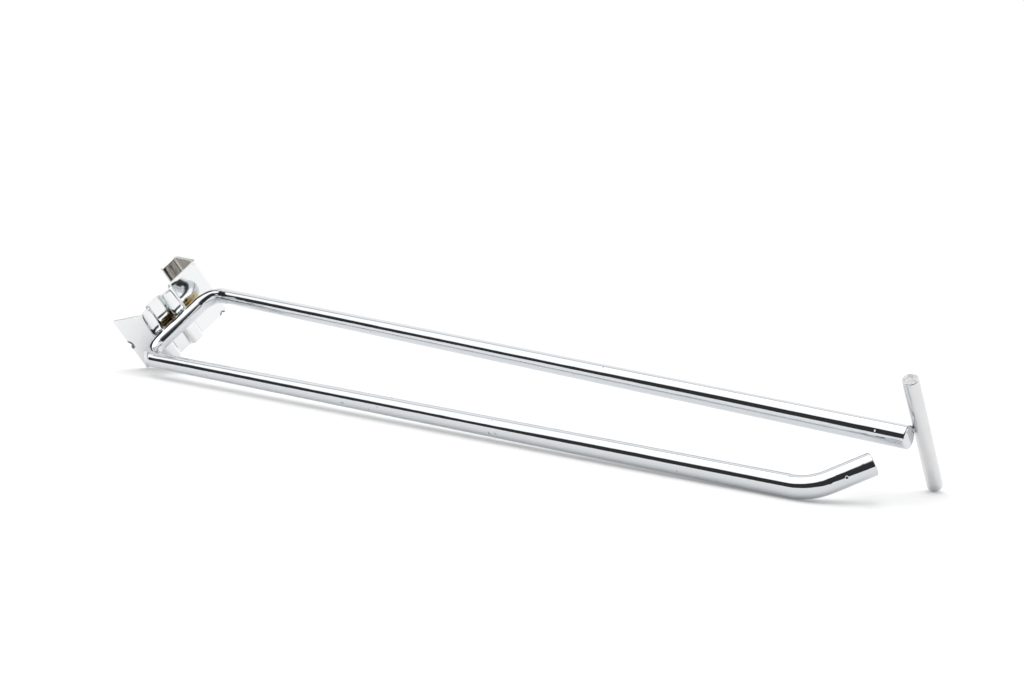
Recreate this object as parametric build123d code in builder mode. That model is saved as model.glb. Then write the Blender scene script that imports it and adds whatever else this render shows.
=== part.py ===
from build123d import *

import os
from math import cos, radians, sin

# Rail-hung display hook: a bent wire (prong, upright and label arm) welded to a saddle bracket.
# Millimetres, +Z up, as the hook hangs in use. The origin is the middle of the saddle's seat, the
# underside of the bracket's web, which rests on the rail. The arms reach out along -Y.

# ---- driving dimensions ----

# saddle bracket, a folded strip
sheet = 1.5
slot_depth = 12.0
flange_drop = 7.2
rib_height = 2.2
step_run = 1.0
upper_rib_top = -13.9
upper_rib_length = 5.0
rib_spacing = 12.0
tab_fold_depth = 30.6
tab_length = 13.2
tab_angle = 25.5
strip_width_top = 25.4
strip_width_bottom = 24.1
web_fold_radius = 1.75
step_radius = 1.2
tab_fold_radius = 2.5
rack_mark_radius = 0.7
rack_mark_below_seat = 2.0
tab_nick_radius = 0.9

# wire: prong, upright and label arm
wire_diameter = 6.0
wire_set_down = 0.5
upper_corner_below_seat = 3.1
arm_spacing = 37.4
prong_length = 272.2
prong_rise = 4.26
tip_length = 16.4
tip_rise = 48.4
label_arm_length = 286.9
label_arm_rise = 1.06
corner_bend_radius = 8.0
prong_bend_radius = 12.5
wire_end_chamfer = 0.4

# crossbar at the front end of the label arm
crossbar_diameter = 4.1
crossbar_length = 39.2
crossbar_shift = 3.75
crossbar_set_down = 0.4
crossbar_past_end = 0.95
crossbar_yaw = 1.3
crossbar_round = 1.5
crossbar_chamfer = 0.3

# weld metal
bracket_bead_radius = 0.75
bracket_bead_length = 3.4
bracket_bead_offset = 2.05
crossbar_flash_radius = 1.8
crossbar_flash_height = 1.2
crossbar_flash_back = 1.3

# ---- places worked out from them ----

wire_radius = wire_diameter / 2
crossbar_radius = crossbar_diameter / 2

flange_y = (slot_depth + sheet) / 2
plate_y = -flange_y
rib_y = plate_y - rib_height
rib_front_y = rib_y - sheet / 2
wire_y = rib_front_y + wire_set_down - wire_radius
lower_rib_top = upper_rib_top - rib_spacing


def along(angle):
    """Unit step towards the front of the hook, rising by angle degrees."""
    return Vector(0, -cos(radians(angle)), sin(radians(angle)))


def above(angle):
    """Unit step square to along(angle), upwards."""
    return Vector(0, sin(radians(angle)), cos(radians(angle)))


upper_corner = Vector(0, wire_y, -upper_corner_below_seat)
lower_corner = upper_corner - Vector(0, 0, arm_spacing)
prong_bend = lower_corner + along(prong_rise) * prong_length
prong_tip = prong_bend + along(tip_rise) * tip_length
label_arm_end = upper_corner + along(label_arm_rise) * label_arm_length

crossbar_lift = wire_radius + crossbar_radius - crossbar_set_down
crossbar_centre = (
    label_arm_end
    + along(label_arm_rise) * crossbar_past_end
    + above(label_arm_rise) * crossbar_lift
)
tab_fold = Vector(rib_y, -tab_fold_depth)
tab_tip = tab_fold + Vector(cos(radians(tab_angle)), -sin(radians(tab_angle))) * tab_length

# Middle line of the folded strip, as (y, z) points from the back flange's edge to the tab's edge,
# with the bend radius at each point between them.
strip_line = [
    ((flange_y, -flange_drop), None),
    ((flange_y, sheet / 2), web_fold_radius),
    ((plate_y, sheet / 2), web_fold_radius),
    ((plate_y, upper_rib_top), step_radius),
    ((rib_y, upper_rib_top - step_run), step_radius),
    ((rib_y, upper_rib_top - upper_rib_length), step_radius),
    ((plate_y, upper_rib_top - upper_rib_length - step_run), step_radius),
    ((plate_y, lower_rib_top), step_radius),
    ((rib_y, lower_rib_top - step_run), step_radius),
    ((tab_fold.X, tab_fold.Y), tab_fold_radius),
    ((tab_tip.X, tab_tip.Y), None),
]
strip_points = [point for point, radius in strip_line]
strip_radii = [radius for point, radius in strip_line if radius is not None]

# ---- crossbar ----

crossbar_direction = Vector(cos(radians(crossbar_yaw)), sin(radians(crossbar_yaw)), 0)
crossbar_plane = Plane(
    origin=crossbar_centre + crossbar_direction * (crossbar_shift - crossbar_length / 2),
    x_dir=(0, 0, 1),
    z_dir=crossbar_direction,
)
with BuildPart() as label_crossbar:
    with BuildSketch(crossbar_plane):
        Circle(crossbar_radius)
    extrude(amount=crossbar_length)
    crossbar_ends = label_crossbar.faces().filter_by(GeomType.PLANE).sort_by(Axis.X)
    sheared_end = crossbar_ends[0].edges()
    rounded_end = crossbar_ends[-1].edges()
    chamfer(sheared_end, crossbar_chamfer)
    fillet(rounded_end, crossbar_round)
label_crossbar.part.label = "label_crossbar"

# ---- wire, seated under the crossbar at its front end ----

with BuildPart() as hook_wire:
    with BuildLine(Plane.YZ) as wire_path:
        FilletPolyline(
            (prong_tip.Y, prong_tip.Z),
            (prong_bend.Y, prong_bend.Z),
            (lower_corner.Y, lower_corner.Z),
            (upper_corner.Y, upper_corner.Z),
            (label_arm_end.Y, label_arm_end.Z),
            radius=[prong_bend_radius, corner_bend_radius, corner_bend_radius],
        )
    with BuildSketch(Plane(origin=wire_path.wire() @ 0, z_dir=wire_path.wire() % 0)):
        Circle(wire_radius)
    sweep(path=wire_path.wire())
    wire_ends = hook_wire.faces().filter_by(GeomType.PLANE)
    chamfer(wire_ends.edges(), wire_end_chamfer)
    add(label_crossbar.part, mode=Mode.SUBTRACT)
hook_wire.part.label = "hook_wire"

# ---- saddle bracket, with the upright pressed into its two ribs ----

blank_top = sheet
blank_bottom = tab_tip.Y - sheet
blank_reach = slot_depth + tab_length
tab_edge_plane = Plane(
    origin=(0, tab_tip.X, tab_tip.Y),
    x_dir=(1, 0, 0),
    z_dir=(0, sin(radians(tab_angle)), cos(radians(tab_angle))),
)
with BuildPart() as saddle_bracket:
    with BuildSketch(Plane.YZ):
        with BuildLine():
            FilletPolyline(*strip_points, radius=strip_radii)
        trace(line_width=sheet)
    extrude(amount=strip_width_top / 2, both=True)
    with BuildSketch(Plane.XZ):
        Polygon(
            (-strip_width_top / 2, blank_top),
            (strip_width_top / 2, blank_top),
            (strip_width_bottom / 2, blank_bottom),
            (-strip_width_bottom / 2, blank_bottom),
            align=None,
        )
    extrude(amount=blank_reach, both=True, mode=Mode.INTERSECT)
    with BuildSketch(Plane.XZ):
        with Locations((strip_width_top / 2, -rack_mark_below_seat)):
            Circle(rack_mark_radius)
    extrude(amount=slot_depth, mode=Mode.SUBTRACT)
    with BuildSketch(tab_edge_plane):
        Circle(tab_nick_radius)
    extrude(amount=sheet, both=True, mode=Mode.SUBTRACT)
    add(hook_wire.part, mode=Mode.SUBTRACT)
saddle_bracket.part.label = "saddle_bracket"

# ---- weld metal: a bead on each side of the upright at each rib ----

upper_bead_z = upper_rib_top - (step_run + upper_rib_length) / 2
lower_bead_z = lower_rib_top - (step_run + upper_rib_length) / 2
bead_centres = [
    (side * bracket_bead_offset, rib_front_y, bead_z)
    for side in (-1, 1)
    for bead_z in (upper_bead_z, lower_bead_z)
]
with BuildPart() as bracket_welds:
    with Locations(*bead_centres):
        Cylinder(bracket_bead_radius, bracket_bead_length)
    fillet(bracket_welds.edges().filter_by(GeomType.CIRCLE), bracket_bead_radius / 2)
    add(hook_wire.part, mode=Mode.SUBTRACT)
    add(saddle_bracket.part, mode=Mode.SUBTRACT)
bracket_welds.part.label = "bracket_welds"

# ---- weld metal: flash squeezed out between the crossbar and the arm ----

flash_drop = crossbar_radius + crossbar_flash_height / 2
flash_plane = Plane(
    origin=crossbar_centre
    - above(label_arm_rise) * flash_drop
    - along(label_arm_rise) * crossbar_flash_back,
    x_dir=(1, 0, 0),
    z_dir=above(label_arm_rise),
)
with BuildPart() as crossbar_weld:
    with BuildSketch(flash_plane):
        Circle(crossbar_flash_radius)
    extrude(amount=crossbar_flash_height)
    fillet(crossbar_weld.edges().filter_by(GeomType.CIRCLE), crossbar_flash_height / 3)
    add(hook_wire.part, mode=Mode.SUBTRACT)
    add(label_crossbar.part, mode=Mode.SUBTRACT)
crossbar_weld.part.label = "crossbar_weld"

# ---- one STEP file per piece ----

pieces = [hook_wire, saddle_bracket, label_crossbar, bracket_welds, crossbar_weld]
os.makedirs("parts", exist_ok=True)
for piece in pieces:
    export_step(piece.part, f"parts/{piece.part.label}.step")
    print(piece.part.label, round(piece.part.volume, 1), piece.part.bounding_box())
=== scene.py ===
from math import cos, pi, radians, sin, sqrt, tan

import bmesh
import bpy
from mathutils import Matrix, Vector, noise


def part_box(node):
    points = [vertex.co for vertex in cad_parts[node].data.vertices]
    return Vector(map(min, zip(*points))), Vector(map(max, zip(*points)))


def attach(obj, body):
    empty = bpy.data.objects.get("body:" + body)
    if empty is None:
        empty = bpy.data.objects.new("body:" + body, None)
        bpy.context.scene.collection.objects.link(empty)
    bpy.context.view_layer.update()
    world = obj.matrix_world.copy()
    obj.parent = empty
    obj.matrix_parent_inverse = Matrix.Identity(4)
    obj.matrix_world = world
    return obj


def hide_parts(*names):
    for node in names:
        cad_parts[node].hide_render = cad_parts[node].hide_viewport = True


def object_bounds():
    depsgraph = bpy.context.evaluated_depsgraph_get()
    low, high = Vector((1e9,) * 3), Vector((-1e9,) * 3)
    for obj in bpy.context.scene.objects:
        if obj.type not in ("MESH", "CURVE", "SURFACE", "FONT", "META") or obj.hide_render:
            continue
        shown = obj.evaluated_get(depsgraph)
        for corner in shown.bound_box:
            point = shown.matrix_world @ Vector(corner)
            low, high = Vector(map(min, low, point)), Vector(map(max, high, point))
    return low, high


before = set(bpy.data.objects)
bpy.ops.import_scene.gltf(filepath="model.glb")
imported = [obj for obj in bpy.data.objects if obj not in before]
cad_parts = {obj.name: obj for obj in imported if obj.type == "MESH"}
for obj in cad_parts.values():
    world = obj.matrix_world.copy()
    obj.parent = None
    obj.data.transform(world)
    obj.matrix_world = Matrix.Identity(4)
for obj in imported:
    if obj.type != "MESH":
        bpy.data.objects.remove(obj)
cad_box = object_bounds()

# The hook lies on its side on a pale table, resting on three points: the rounded end of its
# crossbar, the bend of its prong and a corner of its bracket. The table's plane is found from those
# points. Everything is in metres, in the frame of the CAD nodes: +Z up as the hook hangs, -Y out
# along its arms.

MM = 0.001
SIDEWAYS = Vector((1, 0, 0))

# ---- sizes that the design gives, repeated from the part's source ----

UPPER_CORNER_BELOW_SEAT = 3.1 * MM
ARM_SPACING = 37.4 * MM
PRONG_LENGTH = 272.2 * MM
PRONG_RISE = radians(4.26)
TIP_LENGTH = 16.4 * MM
TIP_RISE = radians(48.4)
LABEL_ARM_LENGTH = 286.9 * MM
LABEL_ARM_RISE = radians(1.06)
CORNER_BEND_RADIUS = 8.0 * MM
PRONG_BEND_RADIUS = 12.5 * MM
WIRE_END_CHAMFER = 0.4 * MM

SHEET = 1.5 * MM
FLANGE_DROP = 7.2 * MM
RIB_HEIGHT = 2.2 * MM
STEP_RUN = 1.0 * MM
STEP_RADIUS = 1.2 * MM
UPPER_RIB_TOP = -13.9 * MM
UPPER_RIB_LENGTH = 5.0 * MM
RIB_SPACING = 12.0 * MM
LOWER_RIB_TOP = UPPER_RIB_TOP - RIB_SPACING
WEB_FOLD_RADIUS = 1.75 * MM
TAB_FOLD_DEPTH = 30.6 * MM
TAB_FOLD_RADIUS = 2.5 * MM
TAB_LENGTH = 13.2 * MM
TAB_ANGLE = radians(25.5)
TAB_NICK_RADIUS = 0.9 * MM
RACK_MARK_RADIUS = 0.7 * MM
RACK_MARK_BELOW_SEAT = 2.0 * MM
STRIP_WIDTH_BOTTOM = 24.1 * MM

CROSSBAR_LENGTH = 39.2 * MM
CROSSBAR_YAW = radians(1.3)
CROSSBAR_ROUND = 1.5 * MM
BEAD_RADIUS = 0.75 * MM
BEAD_LENGTH = 3.4 * MM
BEAD_OFFSET = 2.05 * MM

# ---- places read from the CAD nodes ----

wire_low, wire_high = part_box("hook_wire")
bracket_low, bracket_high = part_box("saddle_bracket")
crossbar_low, crossbar_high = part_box("label_crossbar")
flash_low, flash_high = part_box("crossbar_weld")

WIRE_RADIUS = (wire_high.x - wire_low.x) / 2
WIRE_Y = wire_high.y - WIRE_RADIUS
STRIP_WIDTH_TOP = bracket_high.x - bracket_low.x
FLANGE_Y = bracket_high.y - SHEET / 2
PLATE_Y = -FLANGE_Y
RIB_Y = PLATE_Y - RIB_HEIGHT
RIB_FRONT_Y = RIB_Y - SHEET / 2
CROSSBAR_RADIUS = (crossbar_high.z - crossbar_low.z) / 2
CROSSBAR_MIDDLE = (crossbar_low + crossbar_high) / 2
CROSSBAR_DIRECTION = Vector((cos(CROSSBAR_YAW), sin(CROSSBAR_YAW), 0))


def along(rise):
    """Unit step towards the front of the hook, rising by that angle."""
    return Vector((0, -cos(rise), sin(rise)))


# ---- camera and table ----

CAMERA_PLACE = Vector((-231.3, -429.5, -184.2)) * MM
CAMERA_TARGET = Vector((0, -165.2, 5.2)) * MM
CAMERA_ROLL = radians(-40.74)
CAMERA_LENS = 44.83
TABLE_UP_GUESS = Vector((-0.74, 0.06, 0.67))
PRONG_BEND_REACH = 40 * MM
BELOW_LABEL_ARM = -12 * MM


def add_camera():
    """The camera sees the hook lying on its side, so it's rolled far over from the hook's upright."""
    forward = (CAMERA_TARGET - CAMERA_PLACE).normalized()
    right = forward.cross(Vector((0, 0, 1))).normalized()
    up = right.cross(forward)
    turn = Matrix.Rotation(CAMERA_ROLL, 3, forward)
    right, up = turn @ right, turn @ up
    data = bpy.data.cameras.new("camera")
    data.lens = CAMERA_LENS
    data.sensor_width = 36
    data.clip_start = 0.01
    camera = bpy.data.objects.new("camera", data)
    axes = Matrix((right, up, -forward)).transposed()
    camera.matrix_world = Matrix.Translation(CAMERA_PLACE) @ axes.to_4x4()
    bpy.context.scene.collection.objects.link(camera)
    bpy.context.scene.camera = camera


def node_points(name):
    """The corners of a CAD node's mesh."""
    return [vertex.co.copy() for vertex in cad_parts[name].data.vertices]


def resting_plane(groups, up_guess):
    """The plane that touches each group of points at its lowest one: (a point of it, its normal)."""
    up = up_guess.normalized()
    for _ in range(12):
        a, b, c = [min(points, key=lambda point: point.dot(up)) for points in groups]
        normal = (b - a).cross(c - a).normalized()
        up = normal if normal.dot(up) > 0 else -normal
    return a, up


prong_front = wire_low.y + PRONG_BEND_REACH
prong_bend_points = [
    p for p in node_points("hook_wire") if p.y < prong_front and p.z < BELOW_LABEL_ARM
]
TABLE_POINT, TABLE_UP = resting_plane(
    [node_points("label_crossbar"), prong_bend_points, node_points("saddle_bracket")],
    TABLE_UP_GUESS,
)

# ---- small helpers for node graphs ----


class Graph:
    """A node tree with short calls for the nodes that the materials use."""

    def __init__(self, tree):
        self.tree = tree
        self.nodes = tree.nodes
        self.nodes.clear()

    def node(self, kind, **settings):
        made = self.nodes.new(kind)
        for key, value in settings.items():
            setattr(made, key, value)
        return made

    def feed(self, socket, value):
        if isinstance(value, bpy.types.NodeSocket):
            self.tree.links.new(value, socket)
        else:
            socket.default_value = value

    def place(self):
        """Where on the piece, in metres along the hook's own axes."""
        return self.node("ShaderNodeTexCoord").outputs["Object"]

    def split(self, vector):
        made = self.node("ShaderNodeSeparateXYZ")
        self.feed(made.inputs[0], vector)
        return made.outputs["X"], made.outputs["Y"], made.outputs["Z"]

    def math(self, operation, a, b=0.0):
        made = self.node("ShaderNodeMath", operation=operation)
        self.feed(made.inputs[0], a)
        self.feed(made.inputs[1], b)
        return made.outputs[0]

    def product(self, *values):
        result = values[0]
        for value in values[1:]:
            result = self.math("MULTIPLY", result, value)
        return result

    def dot(self, a, direction):
        made = self.node("ShaderNodeVectorMath", operation="DOT_PRODUCT")
        self.feed(made.inputs[0], a)
        made.inputs[1].default_value = direction
        return made.outputs["Value"]

    def ramp(self, value, start, end, low=0.0, high=1.0, kind="SMOOTHSTEP"):
        """Turns from low to high as value goes from start to end."""
        made = self.node("ShaderNodeMapRange", interpolation_type=kind)
        self.feed(made.inputs["Value"], value)
        self.feed(made.inputs["From Min"], start)
        self.feed(made.inputs["From Max"], end)
        self.feed(made.inputs["To Min"], low)
        self.feed(made.inputs["To Max"], high)
        return made.outputs["Result"]

    def band(self, value, low, high, soft):
        """One between low and high, easing to nought over soft on each side."""
        rising = self.ramp(value, low - soft, low + soft)
        falling = self.ramp(value, high + soft, high - soft)
        return self.math("MULTIPLY", rising, falling)

    def noise(self, vector, scale, detail=2.0, roughness=0.5):
        made = self.node("ShaderNodeTexNoise")
        self.feed(made.inputs["Vector"], vector)
        made.inputs["Scale"].default_value = scale
        made.inputs["Detail"].default_value = detail
        made.inputs["Roughness"].default_value = roughness
        return made.outputs["Fac"]

    def stretched(self, vector, scale):
        made = self.node("ShaderNodeMapping")
        self.feed(made.inputs["Vector"], vector)
        made.inputs["Scale"].default_value = scale
        return made.outputs["Vector"]

    def mix(self, factor, a, b, blend="MIX"):
        made = self.node("ShaderNodeMix", data_type="RGBA", blend_type=blend)
        self.feed(made.inputs["Factor"], factor)
        self.feed(made.inputs["A"], a)
        self.feed(made.inputs["B"], b)
        return made.outputs["Result"]

    def spot(self, vector, centre, radius):
        """One at centre, fading to nought at radius."""
        made = self.node("ShaderNodeVectorMath", operation="DISTANCE")
        self.feed(made.inputs[0], vector)
        made.inputs[1].default_value = centre
        return self.ramp(made.outputs["Value"], radius, 0.0)

    def bump(self, height, strength, distance, normal=None):
        made = self.node("ShaderNodeBump")
        self.feed(made.inputs["Height"], height)
        made.inputs["Strength"].default_value = strength
        made.inputs["Distance"].default_value = distance
        if normal is not None:
            self.feed(made.inputs["Normal"], normal)
        return made.outputs["Normal"]


# ---- studio: a white tent round a white table, open on the camera's side ----

SIDE_LIGHT = 1.6
FORWARD_LIGHT = 1.2
OVERHEAD_BOOST = 1.6
BACKDROP_LIGHT = 1.05
SEAM_LOW_DIMMING = 0.30
SEAM_HIGH_DIMMING = 0.20
SEAM_WIDTH = 0.09
SEAM_OFFSET = 0.10
SEAM_HEADING = -0.894
SEAM_RIGHTWARDS = -0.170
SEAM_RISE = 0.414
PANEL_BLEND = 0.02

OPENING_LIGHT = 0.045
OPENING_HEADING = radians(-165)
OPENING_LEFT_EDGE = radians(-72)
OPENING_RIGHT_EDGE = radians(121)
OPENING_BOTTOM = -0.42
OPENING_BOTTOM_LEFT = -0.03
OPENING_TOP_MIDDLE = 0.85
OPENING_TOP_LEFT = 0.62
STEP_AT_LEFT_END = 0.22
STEP_AT_RIGHT_END = 0.54
SHARP_TOP = 0.05
SOFT_TOP = 1.15
BOTTOM_BLEND = 0.04

PAPER_DARK = (0.80, 0.80, 0.80, 1)
PAPER_LIGHT = (0.84, 0.84, 0.84, 1)
PAPER_GLOW = 0.15
FLOOR_TOWARDS_CAMERA = 0.16
FLOOR_AWAY = 2.0
FLOOR_SIDE = 1.2


def heading(azimuth):
    """Level direction at an angle to the right of the camera's own heading."""
    view = CAMERA_TARGET - CAMERA_PLACE
    forward = (view - TABLE_UP * view.dot(TABLE_UP)).normalized()
    return forward * cos(azimuth) + forward.cross(TABLE_UP) * sin(azimuth)


def tent_light(graph, direction, rise):
    """Two lit panels that meet in a dark seam, under a brighter top."""
    rightwards = graph.dot(direction, heading(radians(90)))
    seam_side = (
        SEAM_HEADING * heading(0) + SEAM_RIGHTWARDS * heading(radians(90)) + SEAM_RISE * TABLE_UP
    )
    across_seam = graph.math("ADD", graph.dot(direction, seam_side), SEAM_OFFSET)
    on_side_panel = graph.product(
        graph.ramp(across_seam, -PANEL_BLEND, PANEL_BLEND), graph.ramp(rightwards, 0.15, -0.05)
    )
    panels = graph.ramp(on_side_panel, 0.0, 1.0, FORWARD_LIGHT, SIDE_LIGHT, "LINEAR")
    dimming = graph.ramp(rise, 0.78, 0.86, SEAM_LOW_DIMMING, SEAM_HIGH_DIMMING)
    seam = graph.ramp(graph.math("ABSOLUTE", across_seam), 0.0, SEAM_WIDTH, dimming, 1.0)
    overhead = graph.ramp(rise, 0.82, 0.95, 1.0, OVERHEAD_BOOST)
    return graph.product(panels, seam, overhead)


def opening_shape(graph, direction, rise):
    """One in the tent's dark opening and nought outside it; its ends and edges differ."""
    out = graph.dot(direction, heading(OPENING_HEADING))
    leftwards = graph.dot(direction, heading(OPENING_HEADING + radians(90)))
    turn = graph.math("ARCTAN2", leftwards, out)
    level = graph.math("SQRT", graph.math("SUBTRACT", 1.0, graph.math("MULTIPLY", rise, rise)))
    slope = graph.math("DIVIDE", rise, graph.math("MAXIMUM", level, 0.001))
    top = graph.math(
        "SUBTRACT",
        graph.ramp(turn, 0.0, radians(55), OPENING_TOP_MIDDLE, OPENING_TOP_LEFT, "LINEAR"),
        graph.ramp(turn, radians(58), radians(66), 0.0, STEP_AT_LEFT_END),
    )
    softness = graph.ramp(turn, radians(-25), radians(15), SOFT_TOP, SHARP_TOP)
    below_top = graph.ramp(slope, top, graph.math("ADD", top, softness), 1.0, 0.0, "LINEAR")
    bottom = graph.math(
        "ADD",
        graph.ramp(turn, radians(60), radians(78), OPENING_BOTTOM, OPENING_BOTTOM_LEFT),
        graph.ramp(turn, radians(-20), radians(-45), 0.0, STEP_AT_RIGHT_END),
    )
    above_bottom = graph.ramp(slope, graph.math("SUBTRACT", bottom, BOTTOM_BLEND), bottom)
    inside_left = graph.dot(direction, heading(OPENING_LEFT_EDGE - radians(90)))
    inside_right = graph.dot(direction, heading(OPENING_RIGHT_EDGE + radians(90)))
    between_edges = graph.product(
        graph.ramp(inside_left, 0.0, 0.05), graph.ramp(inside_right, 0.0, 0.1)
    )
    return graph.product(below_top, above_bottom, between_edges)


def add_world():
    """What the metal reflects is the tent and its opening; the camera itself sees a white backdrop."""
    world = bpy.data.worlds.new("studio")
    bpy.context.scene.world = world
    world.use_nodes = True
    graph = Graph(world.node_tree)
    direction = graph.node("ShaderNodeTexCoord").outputs["Generated"]
    rise = graph.dot(direction, TABLE_UP)
    tent = tent_light(graph, direction, rise)
    dark = opening_shape(graph, direction, rise)
    light = graph.ramp(dark, 0.0, 1.0, tent, OPENING_LIGHT, "LINEAR")
    seen = graph.node("ShaderNodeLightPath").outputs["Is Camera Ray"]
    strength = graph.ramp(seen, 0.0, 1.0, light, BACKDROP_LIGHT, "LINEAR")
    background = graph.node("ShaderNodeBackground")
    background.inputs["Color"].default_value = (1, 1, 1, 1)
    graph.feed(background.inputs["Strength"], strength)
    output = graph.node("ShaderNodeOutputWorld")
    graph.feed(output.inputs["Surface"], background.outputs["Background"])


def floor_material():
    """Matt white paper with a faint glow; light and sight pass through it from below."""
    material = bpy.data.materials.new("white_paper")
    material.use_nodes = True
    graph = Graph(material.node_tree)
    grain = graph.noise(graph.place(), 900.0, 4.0)
    paper = graph.node("ShaderNodeBsdfDiffuse")
    graph.feed(paper.inputs["Color"], graph.mix(grain, PAPER_DARK, PAPER_LIGHT))
    glow = graph.node("ShaderNodeEmission")
    glow.inputs["Strength"].default_value = PAPER_GLOW
    lit_paper = graph.node("ShaderNodeAddShader")
    graph.feed(lit_paper.inputs[0], paper.outputs["BSDF"])
    graph.feed(lit_paper.inputs[1], glow.outputs["Emission"])
    through = graph.node("ShaderNodeBsdfTransparent")
    choice = graph.node("ShaderNodeMixShader")
    graph.feed(choice.inputs[0], graph.node("ShaderNodeNewGeometry").outputs["Backfacing"])
    graph.feed(choice.inputs[1], lit_paper.outputs["Shader"])
    graph.feed(choice.inputs[2], through.outputs["BSDF"])
    output = graph.node("ShaderNodeOutputMaterial")
    graph.feed(output.inputs["Surface"], choice.outputs["Shader"])
    return material


def add_floor():
    """The table's top: a flat sheet under the hook, in the plane that it rests on."""
    box_middle = (Vector(cad_box[0]) + Vector(cad_box[1])) / 2
    middle = box_middle - TABLE_UP * (box_middle - TABLE_POINT).dot(TABLE_UP)
    forward, right = heading(0), heading(radians(90))
    corners = [
        middle + right * side + forward * reach
        for side, reach in (
            (-FLOOR_SIDE, -FLOOR_TOWARDS_CAMERA),
            (FLOOR_SIDE, -FLOOR_TOWARDS_CAMERA),
            (FLOOR_SIDE, FLOOR_AWAY),
            (-FLOOR_SIDE, FLOOR_AWAY),
        )
    ]
    mesh = bpy.data.meshes.new("floor")
    mesh.from_pydata([tuple(corner) for corner in corners], [], [(0, 1, 2, 3)])
    if mesh.polygons[0].normal.dot(TABLE_UP) < 0:
        mesh.flip_normals()
    mesh.materials.append(floor_material())
    floor = bpy.data.objects.new("floor", mesh)
    bpy.context.scene.collection.objects.link(floor)


# ---- mesh building ----


def piece_from(name, build, material, replaced):
    """Makes an object from build(bm), which stands for a CAD node."""
    bm = bmesh.new()
    build(bm)
    bmesh.ops.remove_doubles(bm, verts=bm.verts, dist=0.002 * MM)
    bmesh.ops.recalc_face_normals(bm, faces=bm.faces)
    for face in bm.faces:
        face.smooth = True
    mesh = bpy.data.meshes.new(name)
    bm.to_mesh(mesh)
    bm.free()
    mesh.materials.append(material)
    piece = bpy.data.objects.new(name, mesh)
    bpy.context.scene.collection.objects.link(piece)
    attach(piece, "root")
    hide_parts(replaced)
    return piece


def rounded_path(points, radii, arc_steps):
    """Stations (place, direction) along straight runs joined by tangent arcs."""
    stations = [(points[0], (points[1] - points[0]).normalized())]
    for before, corner, after, radius in zip(points, points[1:], points[2:], radii):
        arriving = (corner - before).normalized()
        leaving = (after - corner).normalized()
        turn = arriving.angle(leaving)
        axis = arriving.cross(leaving).normalized()
        start = corner - arriving * radius * tan(turn / 2)
        centre = start + axis.cross(arriving) * radius
        for step in range(arc_steps + 1):
            spin = Matrix.Rotation(turn * step / arc_steps, 3, axis)
            stations.append((centre + spin @ (start - centre), spin @ arriving))
    stations.append((points[-1], (points[-1] - points[-2]).normalized()))
    return stations


def closer(stations, spacing):
    """The same stations with more between them, so that none are further apart than spacing."""
    result = [stations[0]]
    for (start, leaving), (end, arriving) in zip(stations, stations[1:]):
        steps = max(1, int((end - start).length / spacing + 0.999))
        for step in range(1, steps + 1):
            share = step / steps
            direction = leaving.lerp(arriving, share).normalized()
            result.append((start.lerp(end, share), direction))
    return result


def bridge(bm, rings):
    """Joins closed rings of the same size with quads."""
    for first, second in zip(rings, rings[1:]):
        for i in range(len(first)):
            j = (i + 1) % len(first)
            bm.faces.new((first[i], first[j], second[j], second[i]))


def ring_round(bm, place, direction, side, radius, around=72, lumps=0.0, grain=2000.0):
    """A circle of corners square to direction; lumps makes it uneven by that share of its radius."""
    v = direction.cross(side)
    corners = []
    for k in range(around):
        angle = 2 * pi * k / around
        outwards = side * cos(angle) + v * sin(angle)
        uneven = lumps * noise.noise((place + outwards * radius) * grain) if lumps else 0.0
        corners.append(bm.verts.new(place + outwards * radius * (1 - abs(uneven))))
    return corners


def dressed_end(radius, chamfer, steps=6):
    """A cut and tumbled end, as (inset, radius) steps: a flat face with a rounded rim."""
    face = [(0.0, radius * share) for share in (0.02, 0.45, 0.8)]
    rim = [
        (chamfer * (1 - cos(pi / 2 * k / steps)), radius - chamfer * (1 - sin(pi / 2 * k / steps)))
        for k in range(steps + 1)
    ]
    return face + rim


# ---- hook wire ----

DIE_MARK_DEPTH = 0.03 * MM
DIE_MARK_WIDTH = 0.25 * MM
WIRE_ARC_STEPS = 24


def hook_wire_stations():
    upper_corner = Vector((0, WIRE_Y, -UPPER_CORNER_BELOW_SEAT))
    lower_corner = upper_corner - Vector((0, 0, ARM_SPACING))
    prong_bend = lower_corner + along(PRONG_RISE) * PRONG_LENGTH
    prong_tip = prong_bend + along(TIP_RISE) * TIP_LENGTH
    label_arm_end = upper_corner + along(LABEL_ARM_RISE) * LABEL_ARM_LENGTH
    return rounded_path(
        [prong_tip, prong_bend, lower_corner, upper_corner, label_arm_end],
        [PRONG_BEND_RADIUS, CORNER_BEND_RADIUS, CORNER_BEND_RADIUS],
        WIRE_ARC_STEPS,
    )


def build_hook_wire(bm):
    """The bent wire, with the faint lines that the bending dies leave where each bend starts."""
    stations = hook_wire_stations()
    bend_starts = [1 + bend * (WIRE_ARC_STEPS + 1) for bend in range(3)]
    bend_ends = bend_starts + [start + WIRE_ARC_STEPS for start in bend_starts]
    end_steps = dressed_end(WIRE_RADIUS, WIRE_END_CHAMFER)
    place, direction = stations[0]
    rings = [
        ring_round(bm, place + direction * inset, direction, SIDEWAYS, radius)
        for inset, radius in end_steps
    ]
    for index, (place, direction) in enumerate(stations[1:-1], start=1):
        if index in bend_ends:
            for shift, depth in ((-1, 0), (0, DIE_MARK_DEPTH), (1, 0)):
                at = place + direction * shift * DIE_MARK_WIDTH
                rings.append(ring_round(bm, at, direction, SIDEWAYS, WIRE_RADIUS - depth))
        else:
            rings.append(ring_round(bm, place, direction, SIDEWAYS, WIRE_RADIUS))
    place, direction = stations[-1]
    rings += [
        ring_round(bm, place - direction * inset, direction, SIDEWAYS, radius)
        for inset, radius in reversed(end_steps)
    ]
    bridge(bm, rings)
    bm.faces.new(rings[0])
    bm.faces.new(rings[-1])


# ---- saddle bracket ----

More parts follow.
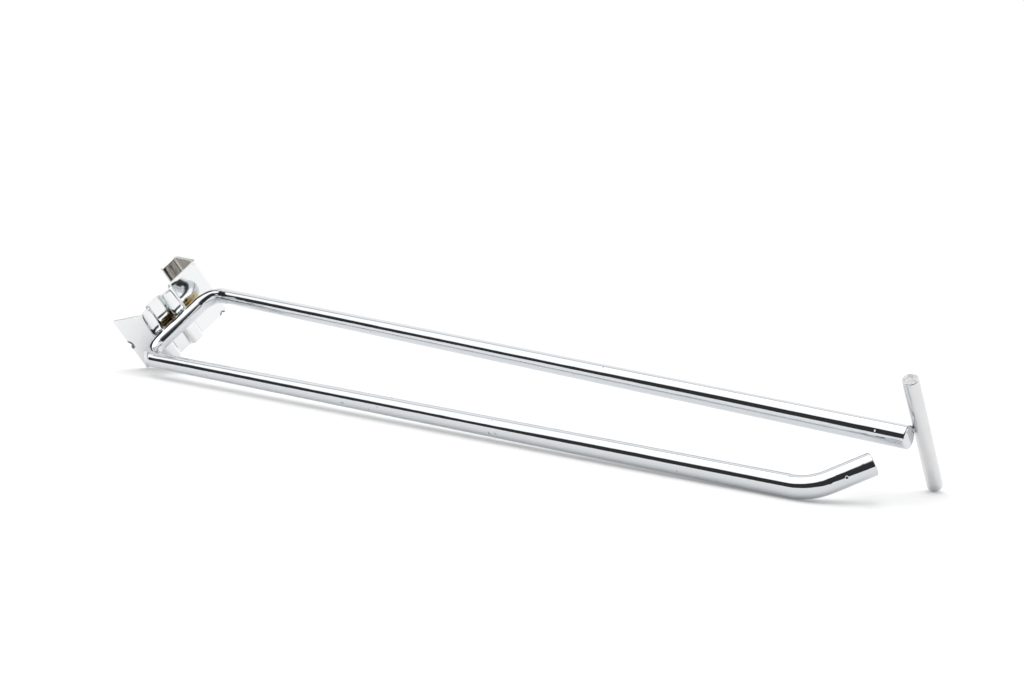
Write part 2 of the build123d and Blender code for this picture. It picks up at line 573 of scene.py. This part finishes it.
SHEARED_ROUND_FRONT = 0.40 * MM
SHEARED_ROUND_BACK = 0.12 * MM
EDGE_STEPS = 5
MARK_FADE = 2.0 * MM
STATION_SPACING = 0.3 * MM
NICK_ZONE = 1.3 * MM
SEAT_ZONE = 3.2 * MM
SEAT_CLEARANCE = 0.01 * MM


def spread(start, stop, spacing):
    """Even steps from start up to, but not at, stop."""
    count = max(1, round((stop - start) / spacing))
    return [start + (stop - start) * k / count for k in range(count)]


def strip_stations():
    """The folded strip's middle line, from the back flange's edge to the tab's edge."""
    ribbed = [
        (PLATE_Y, UPPER_RIB_TOP),
        (RIB_Y, UPPER_RIB_TOP - STEP_RUN),
        (RIB_Y, UPPER_RIB_TOP - UPPER_RIB_LENGTH),
        (PLATE_Y, UPPER_RIB_TOP - UPPER_RIB_LENGTH - STEP_RUN),
        (PLATE_Y, LOWER_RIB_TOP),
        (RIB_Y, LOWER_RIB_TOP - STEP_RUN),
    ]
    tab_fold = (RIB_Y, -TAB_FOLD_DEPTH)
    tab_tip = (RIB_Y + TAB_LENGTH * cos(TAB_ANGLE), -TAB_FOLD_DEPTH - TAB_LENGTH * sin(TAB_ANGLE))
    line = [
        (FLANGE_Y, -FLANGE_DROP),
        (FLANGE_Y, SHEET / 2),
        (PLATE_Y, SHEET / 2),
        *ribbed,
        tab_fold,
        tab_tip,
    ]
    radii = [WEB_FOLD_RADIUS] * 2 + [STEP_RADIUS] * len(ribbed) + [TAB_FOLD_RADIUS]
    stations = rounded_path([Vector((0, y, z)) for y, z in line], radii, arc_steps=8)
    return closer(stations, STATION_SPACING)


def strip_outline(shrink):
    """The strip's cut-through shape at full width, as (x, outwards) pairs in a closed ring."""
    half = STRIP_WIDTH_TOP / 2 - shrink
    thick = SHEET / 2 - shrink
    front_round = min(SHEARED_ROUND_FRONT, thick)
    back_round = min(SHEARED_ROUND_BACK, thick)

    def edge(side):
        """From the front face round the sheared edge to the back face."""
        turns = [pi / 2 * k / EDGE_STEPS for k in range(EDGE_STEPS + 1)]
        front = [
            (side * (half - front_round * (1 - sin(a))), thick - front_round * (1 - cos(a)))
            for a in turns
        ]
        back = [
            (side * (half - back_round * (1 - cos(a))), -thick + back_round * (1 - sin(a)))
            for a in turns
        ]
        return front + back

    inner = STRIP_WIDTH_TOP / 2 - SHEARED_ROUND_FRONT
    narrowed = (half - front_round) / inner
    across = [
        *spread(-inner, -SEAT_ZONE, 0.8 * MM)[1:],
        *spread(-SEAT_ZONE, -NICK_ZONE, 0.2 * MM),
        *spread(-NICK_ZONE, NICK_ZONE, 0.1 * MM),
        *spread(NICK_ZONE, SEAT_ZONE, 0.2 * MM),
        *spread(SEAT_ZONE, inner, 0.8 * MM),
    ]
    front_face = [(x * narrowed, thick) for x in across]
    back_face = [(x * narrowed, -thick) for x in reversed(across)]
    return front_face + edge(1) + back_face + list(reversed(edge(-1)))


def notch(distance, radius):
    """How deep a round nick of that radius is at a distance from its middle."""
    return sqrt(max(0.0, radius * radius - distance * distance))


def fade(distance):
    """One at a mark, easing to nought at MARK_FADE from it."""
    return max(0.0, 1 - distance / MARK_FADE)


def build_saddle_bracket(bm):
    """The folded strip: sheared edges, the nicks and the two seats that the wire is pressed into."""
    stations = strip_stations()
    strip_top, strip_bottom = SHEET, stations[-1][0].z - SHEET
    tip = stations[-1][0]
    turns = [pi / 2 * k / EDGE_STEPS for k in range(EDGE_STEPS)]
    rounding = [
        (SHEARED_ROUND_FRONT * (1 - cos(a)), SHEARED_ROUND_FRONT * (1 - sin(a))) for a in turns
    ]
    end_steps = [(0.0, SHEET / 2 * 0.999), *rounding]
    deepest = end_steps[-1][0]

    def inside(place):
        return min((place - stations[0][0]).length, (place - tip).length) > deepest

    first_place, first_direction = stations[0]
    tip_direction = stations[-1][1]
    cuts = [
        (first_place + first_direction * inset, first_direction, shrink)
        for inset, shrink in end_steps
    ]
    cuts += [(place, direction, 0.0) for place, direction in stations[1:-1] if inside(place)]
    cuts += [
        (tip - tip_direction * inset, tip_direction, shrink)
        for inset, shrink in reversed(end_steps)
    ]

    rings = []
    for place, direction, shrink in cuts:
        share = (strip_top - place.z) / (strip_top - strip_bottom)
        width = 1 + share * (STRIP_WIDTH_BOTTOM / STRIP_WIDTH_TOP - 1)
        outwards = SIDEWAYS.cross(direction)
        ring = []
        for x, out in strip_outline(shrink):
            corner = place + SIDEWAYS * (x * width) + outwards * out
            corner -= direction * notch(corner.x, TAB_NICK_RADIUS) * fade((place - tip).length)
            if corner.y < 0:
                from_edge = STRIP_WIDTH_TOP / 2 - corner.x
                depth = notch(corner.z + RACK_MARK_BELOW_SEAT, RACK_MARK_RADIUS)
                corner.x -= depth * fade(from_edge)
            if abs(corner.x) < WIRE_RADIUS and out > 0:
                seat = WIRE_Y + sqrt(WIRE_RADIUS**2 - corner.x**2)
                corner.y = max(corner.y, seat + SEAT_CLEARANCE)
            ring.append(bm.verts.new(corner))
        rings.append(ring)
    bridge(bm, rings)


# ---- crossbar ----

# The torn end as (inset in mm, share of the radius) steps: a broken face, a rim and a pinched neck.
TORN_FACE = [(0.30, 0.02), (0.26, 0.30), (0.20, 0.50), (0.10, 0.66), (0.0, 0.80), (0.02, 0.90)]
TORN_NECK = [(0.20, 0.98), (0.55, 1.0), (0.80, 0.965), (1.05, 0.945), (1.35, 0.96), (1.9, 1.0)]
TEAR_DEPTH = 0.30 * MM
TEAR_GRAIN = 1900.0
ROUND_STEPS = 12


def build_label_crossbar(bm):
    """A cropped wire: one end torn and pinched by the shear, the other tumbled round."""
    radius = CROSSBAR_RADIUS
    turns = [pi / 2 * k / ROUND_STEPS for k in range(ROUND_STEPS + 1)]
    rounded = [(0.0, 0.02), (0.0, (radius - CROSSBAR_ROUND) / radius)]
    rounded += [
        (CROSSBAR_ROUND * (1 - cos(a)) / MM, 1 - CROSSBAR_ROUND * (1 - sin(a)) / radius)
        for a in turns
    ]
    start = CROSSBAR_MIDDLE - CROSSBAR_DIRECTION * CROSSBAR_LENGTH / 2
    end = CROSSBAR_MIDDLE + CROSSBAR_DIRECTION * CROSSBAR_LENGTH / 2
    upright = Vector((0, 0, 1))

    def ring_at(place, share):
        return ring_round(bm, place, CROSSBAR_DIRECTION, upright, radius * share)

    rings = []
    for index, (inset, share) in enumerate(TORN_FACE + TORN_NECK):
        ring = ring_at(start + CROSSBAR_DIRECTION * inset * MM, share)
        for corner in ring:
            tear = abs(noise.noise(corner.co * TEAR_GRAIN)) * TEAR_DEPTH
            corner.co += CROSSBAR_DIRECTION * tear * max(0.0, 1 - index / 8)
        rings.append(ring)
    for inset, share in reversed(rounded):
        rings.append(ring_at(end - CROSSBAR_DIRECTION * inset * MM, share))
    bridge(bm, rings)
    bm.faces.new(rings[0])
    bm.faces.new(rings[-1])


# ---- weld metal ----


def lumpy_bead(bm, centre, axis, side, length, radius, steps=18):
    """A frozen drop of metal, longer along axis, uneven all over."""
    rings = []
    for k in range(steps + 1):
        share = -0.995 + 1.99 * k / steps
        place = centre + axis * (share * length / 2)
        ring_radius = radius * (1 - abs(share) ** 3) ** 0.5
        rings.append(ring_round(bm, place, axis, side, ring_radius, around=28, lumps=0.35))
    bridge(bm, rings)
    bm.faces.new(rings[0])
    bm.faces.new(rings[-1])


def build_bracket_welds(bm):
    half_rib = (STEP_RUN + UPPER_RIB_LENGTH) / 2
    for rib_top in (UPPER_RIB_TOP, LOWER_RIB_TOP):
        for side in (-1, 1):
            centre = Vector((side * BEAD_OFFSET, RIB_FRONT_Y, rib_top - half_rib))
            lumpy_bead(bm, centre, Vector((0, 0, 1)), SIDEWAYS, BEAD_LENGTH, BEAD_RADIUS)


def build_crossbar_weld(bm):
    """The metal squeezed out where the crossbar sank into the arm."""
    centre = (flash_low + flash_high) / 2
    across = flash_high.x - flash_low.x
    back = Vector((0, across / 8, 0))
    height = flash_high.z - flash_low.z
    lumpy_bead(bm, centre + back, Vector((0, 0, 1)), SIDEWAYS, height, across * 0.37, steps=10)


# ---- materials ----


def metal(name, colour, roughness, build):
    """A plated metal; build(graph, shader) adds its surface detail."""
    material = bpy.data.materials.new(name)
    material.use_nodes = True
    graph = Graph(material.node_tree)
    shader = graph.node("ShaderNodeBsdfPrincipled")
    shader.inputs["Base Color"].default_value = colour
    shader.inputs["Metallic"].default_value = 1.0
    shader.inputs["Roughness"].default_value = roughness
    build(graph, shader)
    output = graph.node("ShaderNodeOutputMaterial")
    graph.feed(output.inputs["Surface"], shader.outputs["BSDF"])
    return material


# Colours and roughnesses are for the bright, worn and stained parts of each plating. Where a
# pattern drives a socket, the value given to metal() is only what the socket holds without it.

CHROME = (0.615, 0.635, 0.66, 1)
PITTED = (0.30, 0.30, 0.32, 1)
BARE_STEEL = (0.05, 0.05, 0.06, 1)
ARM_DING = Vector((-2.3, -291.4, 0.2)) * MM
ARM_DING_RADIUS = 0.30 * MM
TIP_DING = Vector((-1.7, -291.4, -15.2)) * MM
TIP_DING_RADIUS = 0.45 * MM


def bright_chrome():
    """Polished plating on drawn wire: faint streaks along it, pits and two dings."""

    def build(graph, shader):
        place = graph.place()
        pits = graph.ramp(graph.noise(place, 700.0, 1.0), 0.74, 0.80)
        arm_ding = graph.spot(place, ARM_DING, ARM_DING_RADIUS)
        tip_ding = graph.spot(place, TIP_DING, TIP_DING_RADIUS)
        bare = graph.ramp(tip_ding, 0.2, 0.6)
        colour = graph.mix(pits, CHROME, PITTED)
        graph.feed(shader.inputs["Base Color"], graph.mix(bare, colour, BARE_STEEL))
        streaks = graph.noise(graph.stretched(place, (1600, 40, 1600)), 1.0, 3.0)
        haze = graph.noise(place, 60.0, 3.0)
        worn = graph.math("ADD", graph.product(streaks, 0.05), graph.product(haze, 0.04))
        graph.feed(shader.inputs["Roughness"], worn)
        waves = graph.noise(graph.stretched(place, (1, 0.25, 1)), 420.0, 1.0)
        normal = graph.bump(waves, 0.10, 0.0004)
        normal = graph.bump(pits, 0.10, 0.00005, normal)
        dings = graph.math("MAXIMUM", arm_ding, tip_ding)
        normal = graph.bump(dings, 1.0, -0.0002, normal)
        graph.feed(shader.inputs["Normal"], graph.bump(streaks, 0.04, 0.0001, normal))

    return metal("bright_chrome", CHROME, 0.05, build)


SHEET_CHROME = (0.77, 0.785, 0.79, 1)
STRAW = (0.66, 0.53, 0.30, 1)
# Painted dark reflection: a near-black colour for the wire's reflection just below the upper rib.
DARK_REFLECTION_COLOUR = (0.10, 0.08, 0.10, 1)
SMUDGED = (0.16, 0.16, 0.16, 1)
# Painted shade: a darker, browner colour for the inside of the saddle, where its walls shade each
# other.
PAINTED_SADDLE_SHADE = (0.56, 0.54, 0.51, 1)
RACK_SMUDGE_RADIUS = 2.8 * MM
TAB_SMUDGE_RADIUS = 4.1 * MM
TINT_WANDER = 0.9 * MM
TINT_LEFT, TINT_RIGHT = -4.0 * MM, 2.5 * MM
UPPER_TINT_LEFT = -3.5 * MM
TINT_BETWEEN_RIBS = (-24.8 * MM, -19.6 * MM)
TINT_ABOVE_RIBS = (-13.2 * MM, -6.5 * MM)
# Where the painted dark reflection lies on the plate, just below the upper rib.
PAINTED_REFLECTION_BAND = (-21.2 * MM, -19.0 * MM)


def plated_sheet():
    """Bright plating over rolled sheet, tinted by the welding beside the wire, with a dark reflection
    painted below the upper rib and painted shade inside the saddle.
    """

    def build(graph, shader):
        place = graph.place()
        x, y, z = graph.split(place)
        wander = graph.ramp(
            graph.noise(place, 350.0, 3.0), 0.2, 0.8, -TINT_WANDER, TINT_WANDER, "LINEAR"
        )
        across = graph.math("ADD", x, wander)
        down = graph.math("ADD", z, wander)
        in_front = graph.ramp(y, -6.4 * MM, -7.2 * MM)
        between_ribs = graph.product(
            graph.band(across, TINT_LEFT, TINT_RIGHT, 0.9 * MM),
            graph.band(down, *TINT_BETWEEN_RIBS, 0.9 * MM),
        )
        above_ribs = graph.product(
            graph.band(across, UPPER_TINT_LEFT, TINT_RIGHT, 0.8 * MM),
            graph.band(down, *TINT_ABOVE_RIBS, 1.2 * MM),
        )
        tint = graph.product(graph.math("MAXIMUM", between_ribs, above_ribs), in_front)
        # Painted dark reflection: a near-black band within the tint, just below the upper rib.
        reflection_below_upper_rib = graph.band(down, *PAINTED_REFLECTION_BAND, 0.6 * MM)
        painted_dark_reflection = graph.product(graph.ramp(tint, 0.3, 0.9, 0.0, 0.85), reflection_below_upper_rib)
        rack_mark = (STRIP_WIDTH_TOP / 2, PLATE_Y, -RACK_MARK_BELOW_SEAT)
        tab_nick = strip_stations()[-1][0]
        smudges = graph.math(
            "MAXIMUM",
            graph.spot(place, rack_mark, RACK_SMUDGE_RADIUS),
            graph.spot(place, tab_nick, TAB_SMUDGE_RADIUS),
        )
        ragged = graph.math("ADD", smudges, graph.product(wander, 0.12 / MM))
        # Painted shade: the inside of the saddle gets the darker colour.
        shaded_inside_saddle = graph.product(
            graph.band(y, -5.9 * MM, 6.2 * MM, 0.2 * MM),
            graph.band(z, -9.0 * MM, 0.3 * MM, 0.2 * MM),
        )
        colour = graph.mix(shaded_inside_saddle, SHEET_CHROME, PAINTED_SADDLE_SHADE)
        colour = graph.mix(graph.ramp(tint, 0.0, 0.7, 0.0, 0.9), colour, STRAW)
        # The painted dark reflection goes into the colour here.
        colour = graph.mix(painted_dark_reflection, colour, DARK_REFLECTION_COLOUR)
        colour = graph.mix(graph.ramp(ragged, 0.32, 0.5), colour, SMUDGED)
        graph.feed(shader.inputs["Base Color"], colour)
        grain = graph.noise(graph.stretched(place, (2400, 300, 300)), 1.0, 3.0)
        graph.feed(shader.inputs["Roughness"], graph.ramp(grain, 0.3, 0.8, 0.06, 0.12))
        waves = graph.noise(place, 200.0, 2.0)
        normal = graph.bump(waves, 0.12, 0.0005)
        graph.feed(shader.inputs["Normal"], graph.bump(grain, 0.04, 0.0001, normal))

    return metal("plated_sheet", SHEET_CHROME, 0.12, build)


SATIN_DARK = (0.62, 0.625, 0.635, 1)
SATIN_LIGHT = (0.69, 0.69, 0.695, 1)
FRACTURE_DARK = (0.44, 0.44, 0.45, 1)
FRACTURE_LIGHT = (0.66, 0.66, 0.67, 1)
SATIN_PLAIN = (0.54, 0.54, 0.55, 1)


def satin_chrome():
    """Dull plating, and a grainy break on the torn end."""

    def build(graph, shader):
        place = graph.place()
        x, _, _ = graph.split(place)
        blotches = graph.noise(place, 220.0, 2.0)
        plated = graph.mix(blotches, SATIN_DARK, SATIN_LIGHT)
        end_face = graph.ramp(x, crossbar_low.x + 0.6 * MM, crossbar_low.x + 0.5 * MM)
        torn_from = CROSSBAR_MIDDLE - CROSSBAR_DIRECTION * CROSSBAR_LENGTH / 2
        torn = graph.product(
            graph.ramp(graph.spot(place, torn_from, 2 * CROSSBAR_RADIUS), 0.55, 0.65), end_face
        )
        crumbs = graph.ramp(graph.noise(place, 1400.0, 3.0), 0.35, 0.65, 0.0, 1.0)
        fracture = graph.mix(crumbs, FRACTURE_DARK, FRACTURE_LIGHT)
        graph.feed(shader.inputs["Base Color"], graph.mix(torn, plated, fracture))
        grain = graph.noise(graph.stretched(place, (200, 1400, 1400)), 1.0, 2.0)
        smooth = graph.ramp(grain, 0.2, 0.8, 0.20, 0.28)
        graph.feed(shader.inputs["Roughness"], graph.ramp(torn, 0.0, 1.0, smooth, 0.6))
        graph.feed(shader.inputs["Normal"], graph.bump(grain, 0.03, 0.0002))

    return metal("satin_chrome", SATIN_PLAIN, 0.25, build)


WELD_DARK = (0.07, 0.07, 0.09, 1)
WELD_LIGHT = (0.45, 0.45, 0.46, 1)
WELD_PLAIN = (0.35, 0.35, 0.36, 1)


def weld_metal():
    """Dark, lumpy metal with bright crests."""

    def build(graph, shader):
        place = graph.place()
        lumps = graph.noise(place, 1500.0, 3.0)
        colour = graph.mix(graph.ramp(lumps, 0.35, 0.6), WELD_DARK, WELD_LIGHT)
        graph.feed(shader.inputs["Base Color"], colour)
        graph.feed(shader.inputs["Roughness"], graph.ramp(lumps, 0.3, 0.7, 0.35, 0.15))
        graph.feed(shader.inputs["Normal"], graph.bump(lumps, 0.4, 0.0002))

    return metal("weld_metal", WELD_PLAIN, 0.25, build)


# ---- the scene ----


def main():
    add_camera()
    add_world()
    add_floor()
    chrome, sheet, satin, weld = bright_chrome(), plated_sheet(), satin_chrome(), weld_metal()
    piece_from("wire_prong_and_arm", build_hook_wire, chrome, "hook_wire")
    piece_from("folded_saddle", build_saddle_bracket, sheet, "saddle_bracket")
    piece_from("cropped_crossbar", build_label_crossbar, satin, "label_crossbar")
    piece_from("rib_beads", build_bracket_welds, weld, "bracket_welds")
    piece_from("crossbar_flash", build_crossbar_weld, weld, "crossbar_weld")
    bpy.context.scene.view_settings.view_transform = "Standard"


main()
